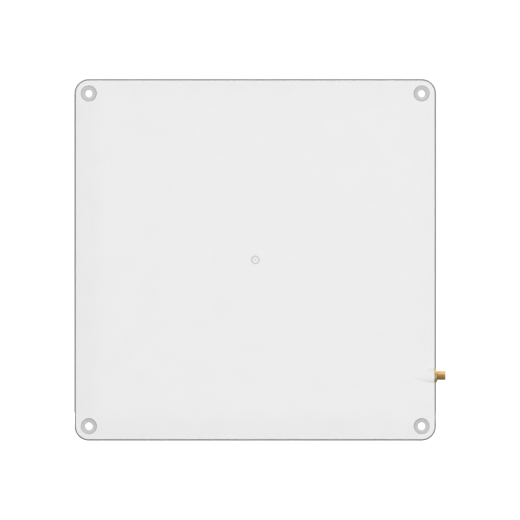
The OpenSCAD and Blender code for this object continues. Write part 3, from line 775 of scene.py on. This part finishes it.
def paint_gate_mark_shade(mat, shader):
    """Darkens the base colour over the moulding mark's ring and dot, in the middle of the front: painted
    shade for the recessed groove and dot.
    """
    tree = mat.node_tree
    where = add(tree, "ShaderNodeTexCoord")
    flat = add(tree, "ShaderNodeVectorMath", operation="MULTIPLY")
    flat.inputs[1].default_value = (1 / MM, 0, 1 / MM)
    radius = add(tree, "ShaderNodeVectorMath", operation="LENGTH")
    span = add(tree, "ShaderNodeMapRange")
    span.inputs["From Max"].default_value = MARK_REACH
    ring_in, ring_out = GATE_R - GATE_W / 2, GATE_R + GATE_W / 2
    stops = [(0, DOT_SHADE_LEVEL), (GATE_DOT, DOT_SHADE_LEVEL), (GATE_DOT + MARK_EDGE, 1), (ring_in, 1)]
    stops += [(ring_in + MARK_EDGE, RING_SHADE_LEVEL), (ring_out - MARK_EDGE, RING_SHADE_LEVEL), (ring_out, 1)]
    ramp = grey_ramp(tree, [(r / MARK_REACH, level) for r, level in stops])
    mix = add(tree, "ShaderNodeMix", data_type="RGBA", blend_type="MULTIPLY")
    mix.inputs["Factor"].default_value = 1
    tree.links.new(where.outputs["Object"], flat.inputs[0])
    tree.links.new(flat.outputs["Vector"], radius.inputs[0])
    tree.links.new(radius.outputs["Value"], span.inputs["Value"])
    tree.links.new(span.outputs["Result"], ramp.inputs["Fac"])
    tree.links.new(shader.inputs["Base Color"].links[0].from_socket, mix.inputs[MIX_A])
    tree.links.new(ramp.outputs["Color"], mix.inputs[MIX_B])
    tree.links.new(mix.outputs[MIX_RESULT], shader.inputs["Base Color"])


def brushed_aluminium(name, base, rough):
    """Satin-anodised sheet, brushed along X."""
    mat, shader = material(name, base, rough, metallic=0.6)
    grain = noise(mat, 26, detail=8, stretch=(1.0, 1.0, 95.0))
    vary_colour(mat, shader, grain, shade(base, 0.88), shade(base, 1.08), start=0.25, end=0.75)
    vary_roughness(mat, shader, grain, rough - 0.08, rough + 0.12)
    bumpy(mat, shader, grain, height_m=0.00001, strength=0.4)
    return mat


def turned_metal(name, base, rough):
    """Metal with fine turning marks round the piece's own Y axis."""
    mat, shader = material(name, base, rough, metallic=0.9)
    tree = mat.node_tree
    where = add(tree, "ShaderNodeTexCoord")
    rings = add(tree, "ShaderNodeTexWave", wave_type="RINGS", rings_direction="Y",
                Scale=900.0, Distortion=0.6, Detail=2.0)
    tree.links.new(where.outputs["Object"], rings.inputs["Vector"])
    bumpy(mat, shader, rings, height_m=0.000008, strength=0.25)
    vary_roughness(mat, shader, noise(mat, 900), rough - 0.05, rough + 0.08)
    return mat


def plain_metal(name, base, rough, metallic=1.0):
    """Metal with a very fine grain."""
    mat, shader = material(name, base, rough, metallic)
    fine = noise(mat, 1500, detail=4)
    vary_colour(mat, shader, fine, shade(base, 0.94), base)
    vary_roughness(mat, shader, fine, rough - 0.05, rough + 0.08)
    bumpy(mat, shader, fine, height_m=0.000004, strength=0.4)
    return mat


def plain_plastic(name, base, rough, grain=1500, height_m=0.000006):
    """Plastic, rubber or foam with a fine grain."""
    mat, shader = material(name, base, rough)
    fine = noise(mat, grain, detail=3)
    vary_colour(mat, shader, fine, shade(base, 0.95), base)
    vary_roughness(mat, shader, fine, rough - 0.05, rough + 0.07)
    bumpy(mat, shader, fine, height_m, strength=0.5)
    return mat


def make_materials():
    """Every material, by the record's slot names, and gold_thread for the jack's rougher thread."""
    steel = (0.68, 0.68, 0.67)
    return {
        "cover_plastic": cover_plastic(),
        "plate_aluminium": brushed_aluminium("plate_aluminium", (0.86, 0.87, 0.88), 0.38),
        "patch_aluminium": brushed_aluminium("patch_aluminium", (0.80, 0.81, 0.82), 0.25),
        "gasket_foam": plain_plastic("gasket_foam", (0.035, 0.035, 0.037), 0.9, grain=3000, height_m=0.00004),
        "screw_steel": plain_metal("screw_steel", steel, 0.35, metallic=0.8),
        "bushing_steel": turned_metal("bushing_steel", (0.97, 0.96, 0.97), 0.5),
        "gold_plate": plain_metal("gold_plate", (0.89, 0.64, 0.27), 0.2),
        "gold_thread": plain_metal("gold_thread", (0.90, 0.68, 0.37), 0.46),
        "ptfe": plain_plastic("ptfe", (0.85, 0.85, 0.84), 0.45),
        "nylon": plain_plastic("nylon", (0.78, 0.76, 0.68), 0.5),
        "seal_rubber": plain_plastic("seal_rubber", (0.02, 0.02, 0.02), 0.7),
        "board_laminate": plain_plastic("board_laminate", (0.02, 0.11, 0.045), 0.4, grain=2500),
        "track_copper": plain_metal("track_copper", (0.86, 0.44, 0.28), 0.3),
        "resistor_body": plain_plastic("resistor_body", (0.02, 0.02, 0.02), 0.35),
        "cable_jacket": plain_plastic("cable_jacket", (0.25, 0.10, 0.04), 0.3),
        "solder": plain_metal("solder", steel, 0.25),
        "adhesive_foam": plain_plastic("adhesive_foam", (0.6, 0.6, 0.58), 0.9, grain=3000, height_m=0.00003),
    }


# ---------------------------------------------------------------- stage, light and camera
VIEW_WIDTH = 0.3593                   # metres across the picture, at the panel
LENS, SENSOR = 1600.0, 36.0
OFF_CENTRE = (0.0033, -0.0001)
CLIP = (0.1, 400)

# grey levels of the surroundings: each stop is (share of the axis from -1 to 1, level)
WHITE_LEVEL = 1.05
FRONT_LIGHT = [(-0.15, 0.42), (0.15, 0.03)]
REFLECTED = [(-0.92, 0.16), (-0.7, 0.42), (-0.1, 0.54), (0.2, 0.60), (0.7, 0.95), (0.86, 2.0)]
BEHIND = [(0.55, 0), (0.85, 1)]
DARK_CARD = 0.02

# place, diameter and power of each light
LIGHTS = {"key": ((0.19, -2.45, 0.13), 0.7, 43.6), "back": ((-0.5, 2.9, 0.42), 0.8, 50)}

FLOOR_SIDE, FLOOR_GAP, FLOOR_GLOW = 120.0, 0.0002, 0.85


def make_world():
    """White to the camera; soft light from in front; brighter above than below in reflections."""
    world = bpy.data.worlds.new("studio")
    world.use_nodes = True
    tree = world.node_tree
    tree.nodes.clear()
    rays = add(tree, "ShaderNodeLightPath")
    where = add(tree, "ShaderNodeTexCoord")
    split = add(tree, "ShaderNodeSeparateXYZ")
    tree.links.new(where.outputs["Generated"], split.inputs["Vector"])

    def graded(axis, stops):
        span = add(tree, "ShaderNodeMapRange")
        span.inputs["From Min"].default_value, span.inputs["From Max"].default_value = -1, 1
        ramp = grey_ramp(tree, [((at + 1) / 2, level) for at, level in stops])
        tree.links.new(split.outputs[axis], span.inputs["Value"])
        tree.links.new(span.outputs["Result"], ramp.inputs["Fac"])
        return ramp.outputs["Color"]

    def background(strength, colour=None):
        light = add(tree, "ShaderNodeBackground", Color=(1, 1, 1, 1), Strength=strength)
        if colour:
            tree.links.new(colour, light.inputs["Color"])
        return light

    def either(share, no, yes):
        mix = add(tree, "ShaderNodeMixShader")
        tree.links.new(share, mix.inputs[0])
        tree.links.new(no.outputs[0], mix.inputs[1])
        tree.links.new(yes.outputs[0], mix.inputs[2])
        return mix

    soft = background(1, graded("Y", FRONT_LIGHT))
    studio = background(1, graded("Z", REFLECTED))
    mirrored = either(graded("Y", BEHIND), studio, background(DARK_CARD))
    unseen = either(rays.outputs["Is Glossy Ray"], soft, mirrored)
    chosen = either(rays.outputs["Is Camera Ray"], unseen, background(WHITE_LEVEL))
    output = add(tree, "ShaderNodeOutputWorld")
    tree.links.new(chosen.outputs[0], output.inputs["Surface"])
    bpy.context.scene.world = world


def soft_light(name, place, size, power):
    """A round lamp that points at the panel's middle and isn't seen itself."""
    data = bpy.data.lights.new(name, "AREA")
    data.shape, data.size, data.energy = "DISK", size, power
    obj = bpy.data.objects.new(name, data)
    obj.location = place
    obj.rotation_euler = (-Vector(place)).to_track_quat("-Z", "Y").to_euler()
    obj.visible_camera = obj.visible_glossy = False
    bpy.context.scene.collection.objects.link(obj)


def make_floor(low):
    """A wide white floor that glows a little and lights nothing."""
    mesh = bpy.data.meshes.new("floor")
    mesh.from_pydata([(x * FLOOR_SIDE, y * FLOOR_SIDE, low) for x, y in ((-1, -1), (1, -1), (1, 1), (-1, 1))],
                     [], [(0, 1, 2, 3)])
    floor = bpy.data.objects.new("floor", mesh)
    bpy.context.scene.collection.objects.link(floor)
    mat, shader = material("floor", (0.9, 0.9, 0.9), 0.9)
    shader.inputs["Emission Color"].default_value = (1, 1, 1, 1)
    shader.inputs["Emission Strength"].default_value = FLOOR_GLOW
    dress(floor, mat)
    floor.visible_diffuse = floor.visible_glossy = False


def make_camera(lo):
    """A long lens, square to the panel's front."""
    data = bpy.data.cameras.new("camera")
    data.lens, data.sensor_width = LENS, SENSOR
    data.clip_start, data.clip_end = CLIP
    camera = bpy.data.objects.new("camera", data)
    camera.location = (OFF_CENTRE[0], lo.y - VIEW_WIDTH * LENS / SENSOR, OFF_CENTRE[1])
    camera.rotation_euler = (math.pi / 2, 0, 0)
    bpy.context.scene.collection.objects.link(camera)
    bpy.context.scene.camera = camera
    bpy.context.scene.view_settings.view_transform = "Standard"


# ---------------------------------------------------------------- the object
make_camera(cad_box[0])
MATERIALS = make_materials()
SLOTS = {s["node"]: s["material_slot"] for s in frame["record"]["subparts"]}
for name, node in frame["nodes"].items():
    dress(node, MATERIALS[SLOTS[name]])

cover = make_front_cover()
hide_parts("front_cover")
dress(cover, MATERIALS["cover_plastic"])
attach(cover, "root")

pieces = [(make_bushing(k + 1, c), "bushing_steel") for k, c in enumerate(corners(HOLE_C))]
pieces += [(make_jack_body(), "gold_thread"), (make_nut(), "gold_plate")]
for piece, finish in pieces:
    dress(piece, MATERIALS[finish])
    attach(piece, "root")

make_world()
for name, (place, size, power) in LIGHTS.items():
    soft_light(name, place, size, power)
make_floor(cad_box[0].z - FLOOR_GAP)
